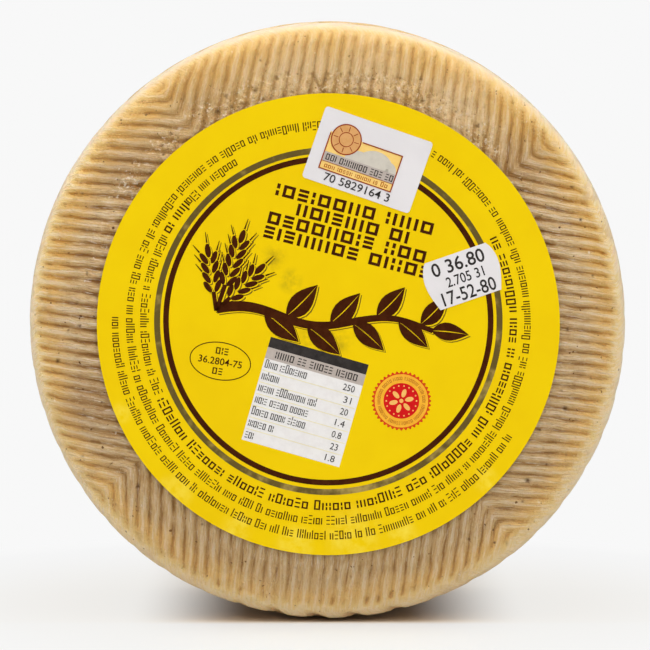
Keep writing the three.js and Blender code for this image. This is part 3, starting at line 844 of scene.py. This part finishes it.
def cheese_wheel():
    bm = bmesh.new()
    for back, board in ((False, FRONT_BOARD), (True, BACK_BOARD)):
        for quarter in range(4):
            for side in (1, -1):
                half_field(bm, board, back, quarter, side)
    bmesh.ops.remove_doubles(bm, verts=bm.verts, dist=0.002)
    rims = set(rim_edges(bm, -HALF_THICKNESS) + rim_edges(bm, HALF_THICKNESS))
    close_label_zone(bm, [e for e in bm.edges if e.is_boundary and e not in rims])
    bridged = bmesh.ops.bridge_loops(bm, edges=rim_edges(bm, -HALF_THICKNESS) + rim_edges(bm, HALF_THICKNESS))
    crossing = {e for f in bridged["faces"] for e in f.edges if abs(e.verts[0].co.y - e.verts[1].co.y) > 1.0}
    bmesh.ops.subdivide_edges(
        bm, edges=list(crossing), cuts=2 * SHOULDER_ROWS + SIDE_ROWS - 1, use_grid_fill=True)
    bmesh.ops.recalc_face_normals(bm, faces=bm.faces)
    press_wheel(bm)
    finished_object("cheese_rind", bm, waxed_rind(), node="cheese_wheel", slot="rind")


# The papers

def label_wave(x, z):
    """How far the paper stands off the flat at a point of the face, most of all near its rim."""
    reach = math.hypot(x - LABEL_RIGHT, z - LABEL_UP)
    slack = 0.05 + 0.2 * smooth(30.0, LABEL_RADIUS, reach)
    wave = 0.5 + 0.5 * ripple(x, z, 19.0, 31)
    flutter = 0.5 + 0.5 * ripple(x, z, 9.0, 33)
    return slack * (0.85 * wave + 0.15 * flutter)


def cut_into_cells(bm, cell):
    """Cuts broad faces along a square grid, so that they can follow the waves of the paper."""
    for axis in (0, 1):
        normal = Vector((1.0 - axis, float(axis), 0.0))
        reach = [vertex.co[axis] for vertex in bm.verts]
        for line in range(math.ceil(min(reach) / cell), math.ceil(max(reach) / cell)):
            bmesh.ops.bisect_plane(
                bm, geom=bm.verts[:] + bm.edges[:] + bm.faces[:], dist=0.0001,
                plane_co=normal * line * cell, plane_no=normal)


def sheet_on_face(name, bm, material, front, thickness, **carried):
    """Makes a flat drawing about the label's middle, with X to the right and Y up, a thin closed
    sheet on the waving paper. Its front is this far before the wheel's middle."""
    bmesh.ops.solidify(bm, geom=bm.faces[:], thickness=thickness)
    for vertex in bm.verts:
        x = LABEL_RIGHT + vertex.co.x
        z = LABEL_UP + vertex.co.y
        inner = thickness if abs(vertex.co.z) > thickness / 2 else 0.0
        vertex.co = (x, inner - front - label_wave(x, z), z)
    bmesh.ops.recalc_face_normals(bm, faces=bm.faces)
    finished_object(name, bm, material, flat=True, **carried)


def ink(name, bm, material, sheet_front=LABEL_FRONT, layer=1, cell=None):
    """Prints a drawing on a sheet. A higher layer covers a lower one."""
    if cell:
        cut_into_cells(bm, cell)
    sheet_on_face(name, bm, material, sheet_front + layer * INK_LAYER, INK_THICKNESS)


def label_sheet():
    """The round label: a radius spun about the middle."""
    bm = bmesh.new()
    edge = [bm.verts.new((0.0, 0.0, 0.0))]
    geometry = edge[:]
    for _ in range(LABEL_RINGS):
        grown = bmesh.ops.extrude_vert_indiv(bm, verts=edge)
        edge = grown["verts"]
        bmesh.ops.translate(bm, verts=edge, vec=(LABEL_RADIUS / LABEL_RINGS, 0.0, 0.0))
        geometry += edge + grown["edges"]
    bmesh.ops.spin(
        bm, geom=geometry, cent=(0, 0, 0), axis=(0, 0, 1), angle=2 * math.pi, steps=180, use_merge=True)
    bmesh.ops.remove_doubles(bm, verts=bm.verts, dist=0.001)
    sheet_on_face(
        "label_sheet", bm, LABEL_PAPER, LABEL_FRONT, PAPER_THICKNESS, node="round_label", slot="label_paper")


def control_sheet():
    """The upper sticker, a rectangle with rounded corners."""
    bm = bmesh.new()
    size = Matrix.Diagonal((CONTROL["width"], CONTROL["height"], 1.0, 1.0))
    made = bmesh.ops.create_grid(bm, x_segments=1, y_segments=1, size=0.5, matrix=size)
    bmesh.ops.bevel(
        bm, geom=made["verts"], affect="VERTICES", offset=CONTROL["corner"], segments=6, profile=0.5,
        material=-1)
    bmesh.ops.transform(bm, matrix=CONTROL_PLACE, verts=bm.verts)
    cut_into_cells(bm, 2.0)
    sheet_on_face(
        "control_sheet", bm, STICKER_PAPER, STICKER_FRONT, PAPER_THICKNESS,
        node="control_sticker", slot="sticker_paper")


def price_sheet():
    """The small sticker, straight above and below and swelling out at both ends."""
    bm = bmesh.new()
    bmesh.ops.create_grid(bm, x_segments=14, y_segments=14, size=0.5)
    for vertex in bm.verts:
        down = 0.5 - vertex.co.y
        swell = PRICE["bulge"] * math.sin(math.pi * down ** 0.8)
        vertex.co.x *= PRICE["width"] + 2 * swell
        vertex.co.y *= PRICE["height"]
    bmesh.ops.transform(bm, matrix=PRICE_PLACE, verts=bm.verts)
    sheet_on_face(
        "price_sheet", bm, STICKER_PAPER, STICKER_FRONT, PAPER_THICKNESS,
        node="price_sticker", slot="sticker_paper")


# Shapes that the print is drawn with, flat, with X to the right and Y up

def bar(bm, place, left, low, width, height):
    """An upright bar from its lower left corner."""
    size = Matrix.Diagonal((width, height, 1.0, 1.0))
    middle = place @ laid(left + width / 2, low + height / 2)
    bmesh.ops.create_grid(bm, x_segments=1, y_segments=1, size=0.5, matrix=middle @ size)


def band(bm, place, path, half_width, steps):
    """A flat band along a path. Both path and half_width are functions of the share gone."""
    made = bmesh.ops.create_grid(bm, x_segments=steps, y_segments=1, size=0.5)
    for vertex in made["verts"]:
        share = vertex.co.x + 0.5
        step = Vector(path(min(share + 0.001, 1.0))) - Vector(path(max(share - 0.001, 0.0)))
        aside = Vector((-step.y, step.x)).normalized() * half_width(share) * math.copysign(1.0, vertex.co.y)
        spot = Vector(path(share)) + aside
        vertex.co = place @ Vector((spot.x, spot.y, 0.0))
    return made["verts"]


def ring(bm, place, radius, half_width, steps, stretch=1.0):
    """A closed band round the place, circular unless it is stretched sideways."""
    def path(share):
        angle = 2 * math.pi * share
        return radius * stretch * math.cos(angle), radius * math.sin(angle)
    made = band(bm, place, path, lambda share: half_width, steps)
    bmesh.ops.remove_doubles(bm, verts=made, dist=0.001)


def blot(bm, place, across, up, points, flat_below=False, scallops=0, scallop=0.0):
    """A filled oval round the place, with a flat lower side or a scalloped rim if asked for."""
    made = bmesh.ops.create_circle(bm, cap_ends=True, segments=points, radius=1.0)
    for vertex in made["verts"]:
        angle = math.atan2(vertex.co.y, vertex.co.x)
        reach = 1.0 + scallop * math.cos(scallops * angle)
        high = max(vertex.co.y, 0.0) if flat_below else vertex.co.y
        vertex.co = place @ Vector((vertex.co.x * reach * across, high * reach * up, 0.0))


def printed_bar(name, material, place, left, low, width, height, sheet_front=LABEL_FRONT, layer=1):
    """A bar of one colour, printed."""
    bm = bmesh.new()
    bar(bm, place, left, low, width, height)
    ink(name, bm, material, sheet_front, layer, cell=FINE_CELL)


def printed_disc(name, material, place, radius, points, sheet_front=LABEL_FRONT, layer=1, cell=2.5, **rim):
    """A disc of one colour, printed."""
    bm = bmesh.new()
    blot(bm, place, radius, radius, points, **rim)
    ink(name, bm, material, sheet_front, layer, cell)


def figures(bm, place, text, height, width, weight=0.0):
    """Plain figures of a height and width, centred on the place."""
    curve = bpy.data.curves.new("figures", "FONT")
    curve.body = text
    curve.align_x = "CENTER"
    curve.resolution_u = 3
    curve.offset = weight
    writing = bpy.data.objects.new("figures", curve)
    mesh = bpy.data.meshes.new_from_object(writing)
    drawn = bmesh.new()
    drawn.from_mesh(mesh)
    reach = [[vertex.co[axis] for vertex in drawn.verts] for axis in (0, 1)]
    lows, highs = [min(r) for r in reach], [max(r) for r in reach]
    middle = laid(-(lows[0] + highs[0]) / 2, -(lows[1] + highs[1]) / 2)
    size = Matrix.Diagonal((width / (highs[0] - lows[0]), height / (highs[1] - lows[1]), 1.0, 1.0))
    bmesh.ops.transform(drawn, verts=drawn.verts, matrix=place @ size @ middle)
    drawn.to_mesh(mesh)
    drawn.free()
    bm.from_mesh(mesh)
    bpy.data.objects.remove(writing)
    bpy.data.curves.remove(curve)
    bpy.data.meshes.remove(mesh)


def mark(bm, place, kind, height, stem):
    """One small printed mark that stands for no letter. Its width comes back."""
    thin = 0.9 * stem
    short = 0.42 * height
    wide = {"stem": 1.0, "pair": 3.3, "rungs": 3.1, "split": 1.0, "frame": 3.7}[kind] * stem
    bars = {
        "stem": ((0.0, 0.0, stem, height),),
        "pair": ((0.0, 0.0, stem, height), (wide - stem, 0.0, stem, height)),
        "rungs": [(0.0, rung * (height - thin) / 2, wide, thin) for rung in range(3)],
        "split": ((0.0, 0.0, stem, short), (0.0, height - short, stem, short)),
        "frame": (
            (0.0, 0.0, wide, thin), (0.0, height - thin, wide, thin),
            (0.0, thin, stem, height - 2 * thin), (wide - stem, thin, stem, height - 2 * thin)),
    }
    for left, low, width, rise in bars[kind]:
        bar(bm, place, left, low, width, rise)
    return wide


def row_of_marks(bm, place_at, length, height, stem, draw, tall_share=0.3, words=(2, 9)):
    """Marks in groups along a row. place_at gives the place at a distance along the row."""
    along = 0.0
    left_in_group = draw.randint(*words)
    while along < length - 2 * stem:
        kind = draw.choice(("stem", "pair", "split", "rungs", "frame", "frame"))
        rise = height * (1.36 if draw.random() < tall_share else 1.0)
        along += mark(bm, place_at(along), kind, rise, stem) + 1.15 * stem
        left_in_group -= 1
        if left_in_group == 0:
            along += 2.6 * stem
            left_in_group = draw.randint(*words)


def straight_row(place, left, up):
    """Places along a straight row whose marks stand on its line."""
    return lambda along: place @ laid(left + along, up)


def ring_place(radius):
    """The middle of a printed circle. The print is set a little high, the smaller circles most."""
    return laid(0.0, 0.95 - 0.064 * (radius - BROWN_RING))


def curved_row(radius, start, height):
    """Places along a row round the label, read from the middle: its marks stand outwards on the
    row, with their tops towards the middle."""
    def place_at(along):
        turned = Matrix.Rotation(start + along / radius + math.pi / 2, 4, "Z")
        return ring_place(radius) @ turned @ laid(0.0, -radius - height / 2)
    return place_at


# The print on the label

def ring_print():
    """The two printed circles round the middle."""
    for name, radius, half_width, material in (
            ("brown_ring", BROWN_RING, BROWN_HALF_WIDTH, BROWN_INK),
            ("gold_ring", GOLD_RING, GOLD_HALF_WIDTH, GOLD_INK)):
        bm = bmesh.new()
        ring(bm, ring_place(radius), radius, half_width, 180)
        ink(name, bm, material)


def small_print():
    """Three rows of small marks round the label, in brown. Parts of the inner row are bold."""
    draw = random.Random(5)
    bm = bmesh.new()
    spans = [(INNER_ROW, span) for span in sorted(INNER_THIN_SPANS + INNER_BOLD_SPANS)]
    for radius, span in spans + [(MIDDLE_ROW, MIDDLE_SPAN), (OUTER_ROW, OUTER_SPAN)]:
        start, end = (math.radians(degrees) for degrees in span)
        bold = span in INNER_BOLD_SPANS
        height, stem = (BOLD_HEIGHT, BOLD_STEM) if bold else (SMALL_HEIGHT, SMALL_STEM)
        row_of_marks(bm, curved_row(radius, start, height), (end - start) * radius, height, stem, draw)
    ink("small_print", bm, BROWN_INK)


def heading():
    """Four rows of bold marks above the middle."""
    draw = random.Random(12)
    bm = bmesh.new()
    for number, length in enumerate(HEADING_LENGTHS):
        up = HEADING_TOP - HEADING_STEP * number - HEADING_HEIGHT / 2
        row_of_marks(
            bm, straight_row(HEADING_PLACE, -length / 2, up), length, HEADING_HEIGHT, HEADING_STEM,
            draw, tall_share=0.0, words=(5, 8))
    ink("heading_marks", bm, BROWN_INK)


def leaf(bm, place, length, width, bend):
    """A leaf along X from its stalk, in two halves with a bare vein between them."""
    for side in (1.0, -1.0):
        made = bmesh.ops.create_circle(bm, cap_ends=True, segments=22, radius=1.0)
        for vertex in made["verts"]:
            share = (1.0 + vertex.co.x) / 2
            belly = math.sin(math.pi * share ** 0.8)
            across = width / 2 * belly if vertex.co.y > 0.01 else 0.12 * belly
            vertex.co = place @ Vector((share * length, side * across + bend * share * share, 0.0))


def ear_of_grain(stalks, leaves, place, stem_length, rows):
    """An ear of grain along X on its thin stem: two rows of grains, the upper ones with an awn."""
    def awn_half_width(share):
        return 0.2 - 0.13 * share
    band(stalks, place, lambda share: (share * stem_length, 0.0), lambda share: 0.5, 2)
    for row in range(rows):
        along = stem_length + GRAIN_STEP * row
        for side in (1.0, -1.0):
            stand = place @ laid(along, side * 0.5) @ Matrix.Rotation(side * 0.5, 4, "Z")
            blot(leaves, stand @ laid(1.5, 0.0), 1.6, 0.66, 16)
            if row > 0:
                band(leaves, stand, lambda share: (3.3 + 2.4 * share, 0.2 * share), awn_half_width, 3)
    tip = stem_length + GRAIN_STEP * rows
    blot(leaves, place @ laid(tip + 0.8, 0.0), 1.7, 0.72, 16)
    band(leaves, place, lambda share: (tip + 2.7 + 2.6 * share, 0.0), awn_half_width, 3)


def grain_spray(stalks, leaves, place):
    """Three ears that fan out on the left, and a long winding stalk with leaves to the right."""
    for turn, stem_length, rows in ((107.0, 4.6, 4), (80.0, 6.6, 5), (53.0, 4.6, 4)):
        ear_of_grain(stalks, leaves, place @ laid(*SPRAY_ROOT, turn), stem_length, rows)

    def stalk(share):
        wave = 1.6 * math.sin(9.4 * share + 0.4)
        return SPRAY_ROOT[0] + 52.2 * share, SPRAY_ROOT[1] + 4.2 * share + wave
    band(stalks, place, stalk, lambda share: 1.3 - 0.7 * share, 60)
    for number in range(LEAF_COUNT):
        share = 0.22 + 0.72 * number / (LEAF_COUNT - 1)
        side = 1.0 if number % 2 == 1 else -1.0
        right, up = stalk(share)
        stand = place @ laid(right, up + side * 0.5, 48.0 if side > 0 else -25.0)
        leaf(leaves, stand, 11.4 - 2.4 * share, 5.8 - 1.3 * share, side * 1.2)
    right, up = stalk(1.0)
    leaf(leaves, place @ laid(right - 0.3, up, 8.0), 9.0, 4.4, -0.8)


def emblem():
    """The large dark spray across the middle, over a thin bare line and a drop shadow."""
    for name, drop, material, layer in (
            ("spray_shadow", 0.46, SHADOW_INK, 1.0), ("spray_gap", 0.24, BARE_YELLOW, 2.0),
            ("spray", 0.0, BROWN_INK, 3.0)):
        stalks = bmesh.new()
        leaves = bmesh.new()
        grain_spray(stalks, leaves, laid(drop, -drop) @ EMBLEM_PLACE)
        ink(name + "_stalks", stalks, material, layer=layer, cell=2.5)
        ink(name + "_leaves", leaves, material, layer=layer + 0.5, cell=2.5)


def value_panel():
    """A white table with a dark header, a grey second row and seven rows of values."""
    draw = random.Random(8)
    width, height = PANEL["width"], PANEL["height"]
    left, low = -width / 2, -height / 2
    header_low = height / 2 - PANEL["header"]
    values_top = header_low - PANEL["second"]
    printed_bar("panel_ground", PANEL_WHITE, PANEL_PLACE, left, low, width, values_top - low)
    printed_bar("panel_header", BLACK_INK, PANEL_PLACE, left, header_low, width, PANEL["header"])
    printed_bar("panel_second_row", GREY_INK, PANEL_PLACE, left, values_top, width, PANEL["second"])
    lines = bmesh.new()
    marks = bmesh.new()
    row_of_marks(
        marks, straight_row(PANEL_PLACE, left + 2.3, values_top + 0.6), width - 4.4, 1.65, 0.27, draw,
        tall_share=0.0)
    row_height = (values_top - low) / len(PANEL_VALUES)
    for row, (share, value) in enumerate(PANEL_VALUES):
        up = values_top - row_height * (row + 1)
        if row > 0:
            bar(lines, PANEL_PLACE, left + 0.3, up + row_height - 0.08, width - 0.6, 0.16)
        row_of_marks(
            marks, straight_row(PANEL_PLACE, left + 0.5, up + 0.75), share * width, 1.5, 0.2, draw,
            tall_share=0.1)
        value_width = 0.95 * len(value) - 0.5 * value.count(".")
        middle = PANEL_PLACE @ laid(width / 2 - 1.6 - value_width / 2, up + 1.5)
        figures(marks, middle, value, 1.6, value_width)
    ink("panel_lines", lines, PALE_LINE_INK, layer=2, cell=FINE_CELL)
    ink("panel_marks", marks, BLACK_INK, layer=3)


def oval_mark():
    """A thin oval with a row of figures between two short rows of marks."""
    draw = random.Random(3)
    bm = bmesh.new()
    ring(bm, OVAL_PLACE, OVAL["height"] / 2, OVAL["line"] / 2, 72, stretch=OVAL["width"] / OVAL["height"])
    figures(bm, OVAL_PLACE @ laid(0.0, -0.1), "36.2804-75", 1.75, 10.6, 0.01)
    for up in (1.65, -3.3):
        row_of_marks(bm, straight_row(OVAL_PLACE, -1.5, up), 3.2, 1.6, 0.3, draw, tall_share=0.0)
    ink("oval_mark", bm, BROWN_INK)


def rosette():
    """A small round seal: a scalloped red rim, an orange ring with marks and a red middle with a
    plain flower."""
    draw = random.Random(21)

    def turned(angle):
        return ROSETTE_PLACE @ Matrix.Rotation(angle, 4, "Z")
    printed_disc("rosette_rim", RIM_INK, ROSETTE_PLACE, ROSETTE["rim"], 240, scallops=40, scallop=0.042)
    printed_disc("rosette_field", ORANGE_INK, ROSETTE_PLACE, ROSETTE["field"], 96, layer=2)
    marks = bmesh.new()
    radius = ROSETTE["marks"]
    row_of_marks(
        marks, lambda along: turned(along / radius) @ laid(0.0, -radius - 0.4), 2 * math.pi * radius, 0.75,
        0.13, draw, tall_share=0.0, words=(4, 9))
    ink("rosette_marks", marks, DARK_OCHRE_INK, layer=3)
    printed_disc("rosette_middle", RED_INK, ROSETTE_PLACE, ROSETTE["middle"], 72, layer=3)
    flower = bmesh.new()
    for petal in range(6):
        blot(flower, turned(petal * math.pi / 3 + 0.2) @ laid(ROSETTE["petals"], 0.0), 1.05, 0.55, 16)
    for dot in range(18):
        blot(flower, turned(dot * math.pi / 9) @ laid(ROSETTE["dots"], 0.0), 0.2, 0.2, 8)
    blot(flower, ROSETTE_PLACE, 0.5, 0.5, 12)
    ink("rosette_flower", flower, PALE_ORANGE_INK, layer=4)


# The print on the stickers

def control_print():
    """A framed ochre panel with a round tan disc over soft hills, two bands of marks, and a row of
    figures below."""
    draw = random.Random(14)
    place = CONTROL_PLACE @ laid(-CONTROL["width"] / 2, -CONTROL["height"] / 2)
    left, low, width, height = 3.0, 3.35, 18.4, 9.3
    edge, fine_edge = 0.28, 0.14
    sun = place @ laid(7.2, 11.9)
    printed_bar("control_ground", OCHRE_INK, place, left, low, width, height, STICKER_FRONT)
    hills = bmesh.new()
    for middle, breadth, rise in ((11.6, 3.4, 2.6), (15.6, 4.6, 3.9), (18.9, 2.2, 2.4)):
        blot(hills, place @ laid(middle, low + 4.4), breadth, rise, 40, flat_below=True)
    ink("control_hills", hills, HILL_INK, STICKER_FRONT, layer=2)
    printed_bar("control_band", GREY_INK, place, left, low + 2.05, width, 2.35, STICKER_FRONT, 3)
    printed_disc("control_disc", TAN_INK, sun, 3.6, 60, STICKER_FRONT, 4, FINE_CELL)
    lines = bmesh.new()
    ring(lines, sun, 3.6, fine_edge, 60)
    ring(lines, sun, 1.7, 0.1, 40)
    for ray in range(8):
        bar(lines, sun @ Matrix.Rotation(ray * math.pi / 4, 4, "Z"), 2.0, -0.09, 1.2, 0.18)
    bar(lines, place, left, low, width, edge)
    bar(lines, place, left + edge, low + 2.0, width - 2 * edge, fine_edge)
    for side in (left, left + width - edge):
        bar(lines, place, side, low + edge, edge, height - 2 * edge)
    bar(lines, place, left + 8.2, low + height - edge, width - 8.2, edge)
    ink("control_lines", lines, DARK_RED_INK, STICKER_FRONT, layer=5, cell=FINE_CELL)
    small = bmesh.new()
    row_of_marks(
        small, straight_row(place, left + 1.2, low + 0.65), width - 2.4, 0.85, 0.2, draw, tall_share=0.2)
    ink("control_small_marks", small, DARK_OCHRE_INK, STICKER_FRONT, layer=2)
    marks = bmesh.new()
    row_of_marks(
        marks, straight_row(place, left + 0.9, low + 2.5), width - 1.6, 1.5, 0.24, draw, tall_share=0.0)
    figures(marks, place @ laid(CONTROL["width"] / 2 - 0.3, 1.95), "70 5829164 3", 2.0, 16.6, 0.005)
    ink("control_marks", marks, BLACK_INK, STICKER_FRONT, layer=4)


def price_print():
    """Three rows of plain black figures."""
    bm = bmesh.new()
    for right, up, row, height, width, weight in PRICE_ROWS:
        figures(bm, PRICE_PLACE @ laid(right, up), row, height, width, weight)
    ink("price_figures", bm, BLACK_INK, STICKER_FRONT)


cheese_wheel()
label_sheet()
control_sheet()
price_sheet()
ring_print()
small_print()
heading()
emblem()
value_panel()
oval_mark()
rosette()
control_print()
price_print()


# Studio

BACKGROUND = "#f8f8f8"
PHOTO_SIZE = 650
CAMERA_DISTANCE = 1.0
CAMERA_ELEVATION = 4.0  # degrees
OUTLINE_PIXELS = 298.5  # radius of the wheel's outline in the photograph
SENSOR_WIDTH = 36.0
AIM_RIGHT = -0.65  # how far from the wheel's middle the picture's middle lies, in millimetres
AIM_UP = -2.55


def studio_floor():
    """A white sweep of card. For the camera alone it glows: evenly white far off, so that it melts
    into the white behind it, and as painted light beside the wheel, so that the camera sees the
    wheel's soft shade only close to it."""
    material, tree, shader, place = new_material("white_card")
    parts = add(tree, "SeparateXYZ", {"Vector": place})
    distance = add(tree, "VectorMath", {0: place}, operation="LENGTH").outputs["Value"]
    # Painted warm light, as the cheese throws it on the card beneath it, mixed into the card's colour
    warm = add(tree, "MapRange", {
        "Value": distance, "From Min": 0.03, "From Max": 0.12, "To Min": 1.0, "To Max": 0.0}, **SOFT)
    below = add(tree, "MapRange", {
        "Value": parts.outputs["Y"], "From Min": -0.034, "From Max": -0.029})
    warm = add(tree, "Math", {0: warm, 1: below}, operation="MULTIPLY")
    card = add(tree, "Mix", {"Factor": warm, "A": linear("#dbdde0"), "B": linear("#d6c4ac")}, **COLOUR)
    wire(tree, shader, {"Base Color": card, "Roughness": 0.9})
    # Painted light: beside the wheel the card glows for the camera, lifting the wheel's shade there
    aside = add(tree, "Math", {0: parts.outputs["X"]}, operation="ABSOLUTE")
    painted_fill_beside = add(tree, "MapRange", {
        "Value": aside, "From Min": 0.0185, "From Max": 0.05, "To Max": 0.9}, **SOFT)
    far = add(tree, "MapRange", {"Value": distance, "From Min": 0.05, "From Max": 0.145}, **SOFT)
    share = add(tree, "Math", {0: painted_fill_beside, 1: far}, operation="MAXIMUM")
    seen = add(tree, "LightPath").outputs["Is Camera Ray"]
    share = add(tree, "Math", {0: share, 1: seen}, operation="MULTIPLY")
    white = add(tree, "Mix", {"Factor": far, "A": linear("#f4f3f0"), "B": linear(BACKGROUND)}, **COLOUR)
    glow = add(tree, "Emission", {"Color": white})
    both = add(tree, "MixShader", {0: share, 1: shader, 2: glow})
    wire(tree, tree.nodes["Material Output"], {"Surface": both})
    bm = bmesh.new()
    bmesh.ops.create_grid(bm, x_segments=60, y_segments=60, size=20.0)
    new_object("studio_floor", bm, material)


def softboxes():
    """Broad white lamps, each looking from its place to a height above the origin."""
    for name, place, aim_height, width, height, power in (
            ("overhead_softbox", (0.0, -0.25, 1.0), 0.07, 1.2, 0.85, 8.9),
            ("front_softbox", (0.0, -1.3, 0.85), 0.07, 1.1, 0.75, 4.7),
            ("left_softbox", (-1.2, -0.35, 0.4), 0.05, 0.9, 0.8, 1.75),
            ("right_softbox", (1.2, -0.35, 0.4), 0.05, 0.9, 0.8, 1.75)):
        lamp = bpy.data.lights.new(name, "AREA")
        lamp.shape = "RECTANGLE"
        lamp.size = width
        lamp.size_y = height
        lamp.energy = power
        light = bpy.data.objects.new(name, lamp)
        light.location = place
        look = Vector((0.0, 0.0, aim_height)) - Vector(place)
        light.rotation_euler = look.to_track_quat("-Z", "Y").to_euler()
        bpy.context.scene.collection.objects.link(light)


def studio_world():
    """White all round. The camera sees it as bright as the photograph's background. It lights the
    wheel from above, and hardly at all from its level."""
    world = bpy.data.worlds.new("white_studio")
    world.use_nodes = True
    bpy.context.scene.world = world
    tree = world.node_tree
    seen = tree.nodes["Background"]
    wire(tree, seen, {"Color": linear(BACKGROUND), "Strength": 1.0})
    direction = add(tree, "TexCoord").outputs["Generated"]
    up = add(tree, "SeparateXYZ", {"Vector": direction}).outputs["Z"]
    strength = add(tree, "MapRange", {
        "Value": up, "From Min": 0.0, "From Max": 0.8, "To Min": 0.135, "To Max": 0.62})
    lighting = add(tree, "Background", {"Color": linear("#ffffff"), "Strength": strength})
    path = add(tree, "LightPath")
    both = add(tree, "MixShader", {0: path.outputs["Is Camera Ray"], 1: lighting, 2: seen})
    wire(tree, tree.nodes["World Output"], {"Surface": both})


def studio_camera():
    """A long lens a little above the wheel's level, so that the outline has its size in the photo."""
    camera_data = bpy.data.cameras.new("camera")
    camera_data.sensor_width = SENSOR_WIDTH
    camera_data.clip_end = 100.0
    pixels_per_metre = OUTLINE_PIXELS / ((WHEEL_RADIUS - BELLY_RISE) * MM)
    front_distance = CAMERA_DISTANCE - HALF_SIDE * MM
    camera_data.lens = SENSOR_WIDTH * pixels_per_metre * front_distance / PHOTO_SIZE
    camera = bpy.data.objects.new("camera", camera_data)
    elevation = math.radians(CAMERA_ELEVATION)
    back = Vector((0.0, -math.cos(elevation), math.sin(elevation)))
    aim = WHEEL_CENTRE + Vector((AIM_RIGHT, 0.0, AIM_UP)) * MM
    camera.location = aim + back * CAMERA_DISTANCE
    camera.rotation_euler = (-back).to_track_quat("-Z", "Y").to_euler()
    bpy.context.scene.collection.objects.link(camera)
    bpy.context.scene.camera = camera


studio_floor()
studio_world()
softboxes()
studio_camera()
bpy.context.scene.view_settings.view_transform = "Standard"
